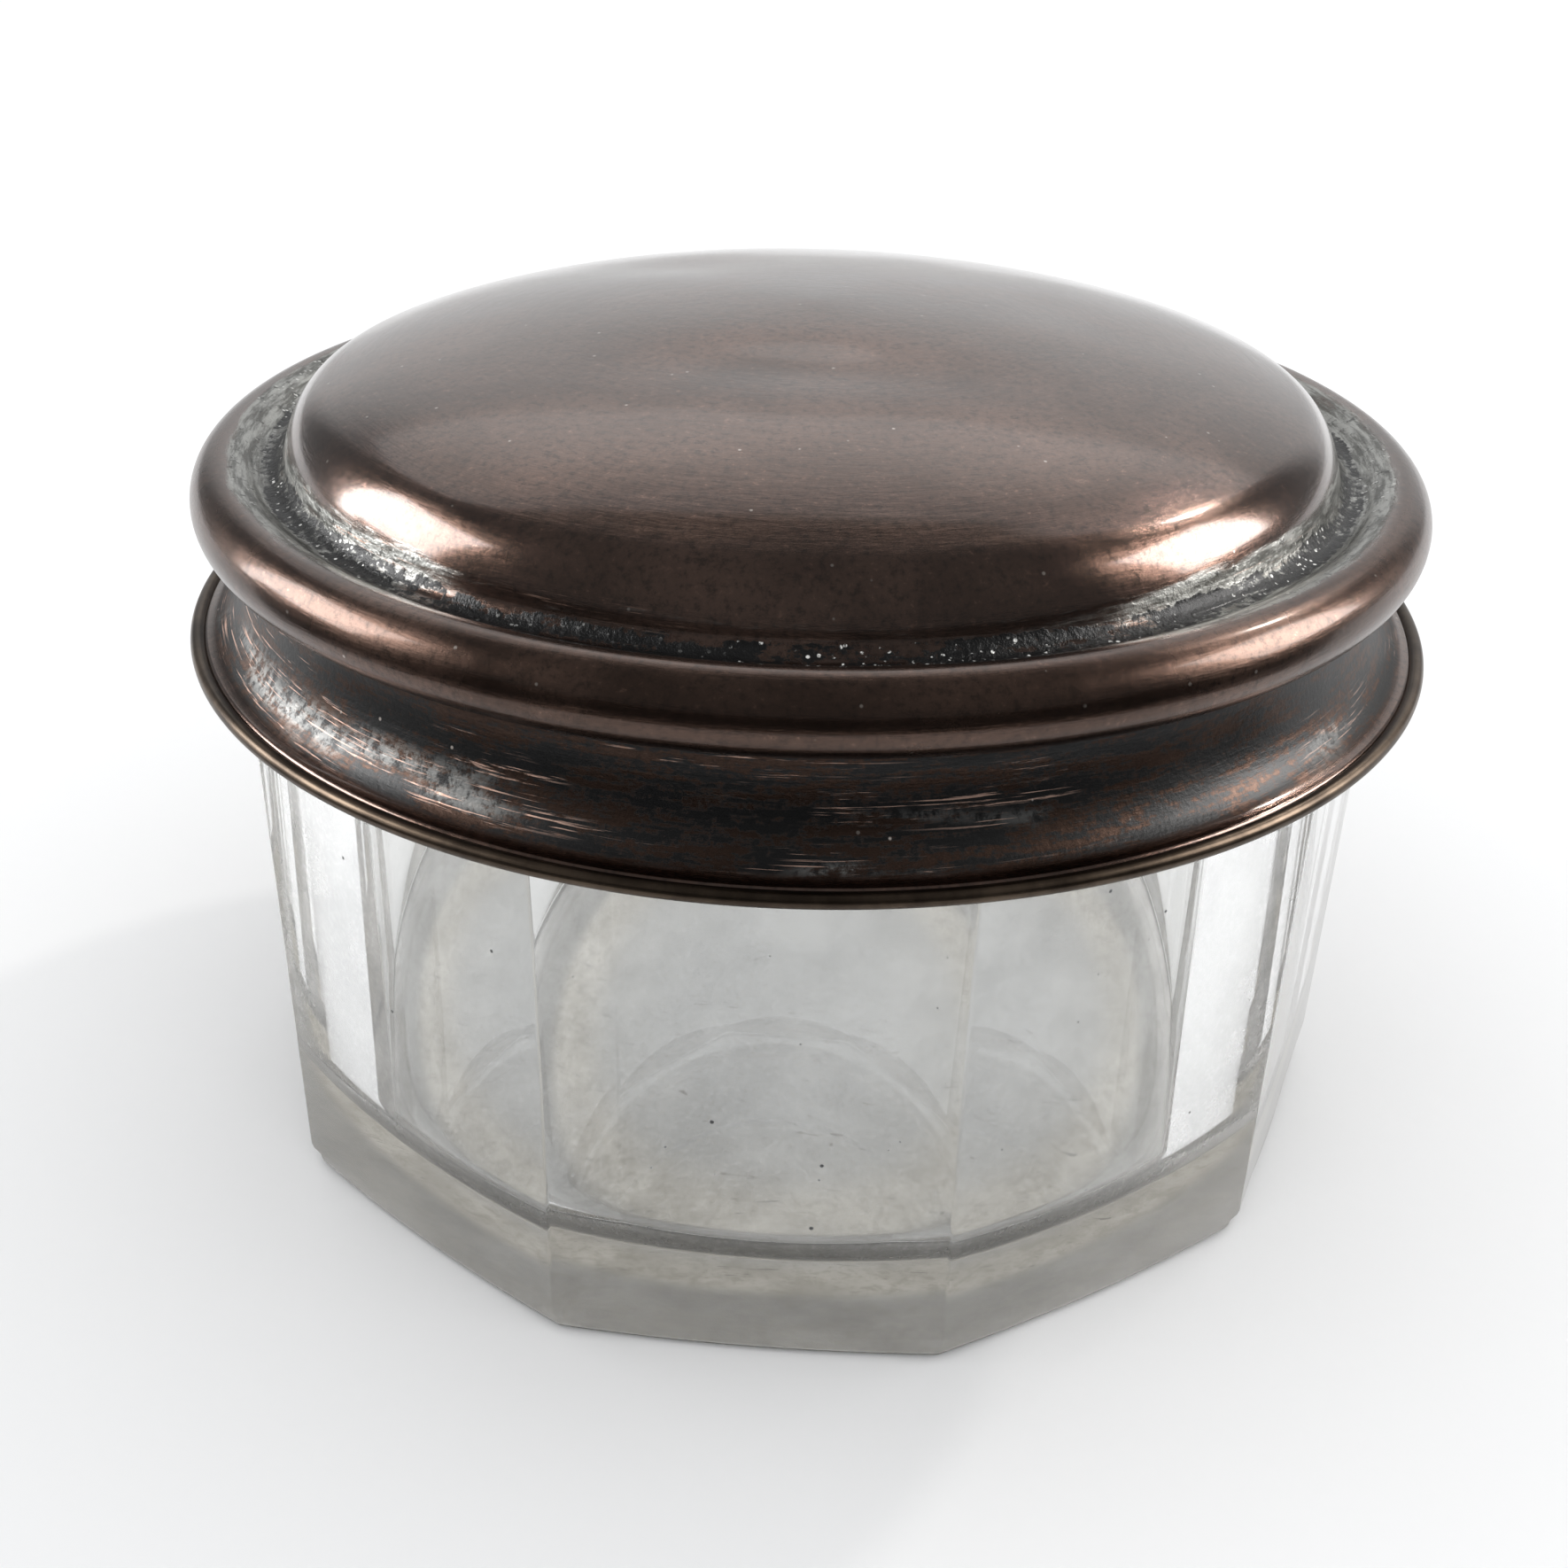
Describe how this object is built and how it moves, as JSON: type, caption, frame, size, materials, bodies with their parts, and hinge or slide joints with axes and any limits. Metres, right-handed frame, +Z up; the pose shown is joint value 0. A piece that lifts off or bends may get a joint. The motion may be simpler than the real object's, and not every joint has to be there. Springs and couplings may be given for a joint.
{
  "type": "dappen dish",
  "caption": "Small lidded salon dish: clear ten-sided glass jar with a thick flat base and a spun copper lid that pulls off the ground neck.",
  "frame": {"origin": "middle of the jar's flat underside, on the surface that the jar stands on", "axes": "+Z up along the jar's axis, -Y out of one flat facet of the jar, towards the front"},
  "size_m": [0.0596, 0.0596, 0.04],
  "materials": {
    "glass": "clear pressed glass, smooth, with a ground and dusty underside",
    "seal_card": "waxed pulp board, matt",
    "collar_copper": "plain copper strip, dull",
    "lid_copper": "brown copper with worn silver plate, semi-gloss, blackened in the groove and the cove",
    "wire_copper": "drawn copper wire, tarnished, semi-gloss"
  },
  "bodies": {
    "jar": {"glass_jar": "glass"},
    "disc": {"lid_seal_disc": "seal_card"},
    "lid": {"lid_shell": "lid_copper", "lid_foot_wire": "wire_copper", "lid_collar": "collar_copper"}
  },
  "joints": [
    {"name": "lid_lift", "type": "slide", "parent": "jar", "child": "disc", "axis": [0, 0, 1], "range_m": [0, 0.03]},
    {"name": "lid_turn", "type": "hinge", "parent": "disc", "child": "lid", "pos_m": [0, 0, 0.032], "axis": [0, 0, 1], "continuous": true}
  ]
}
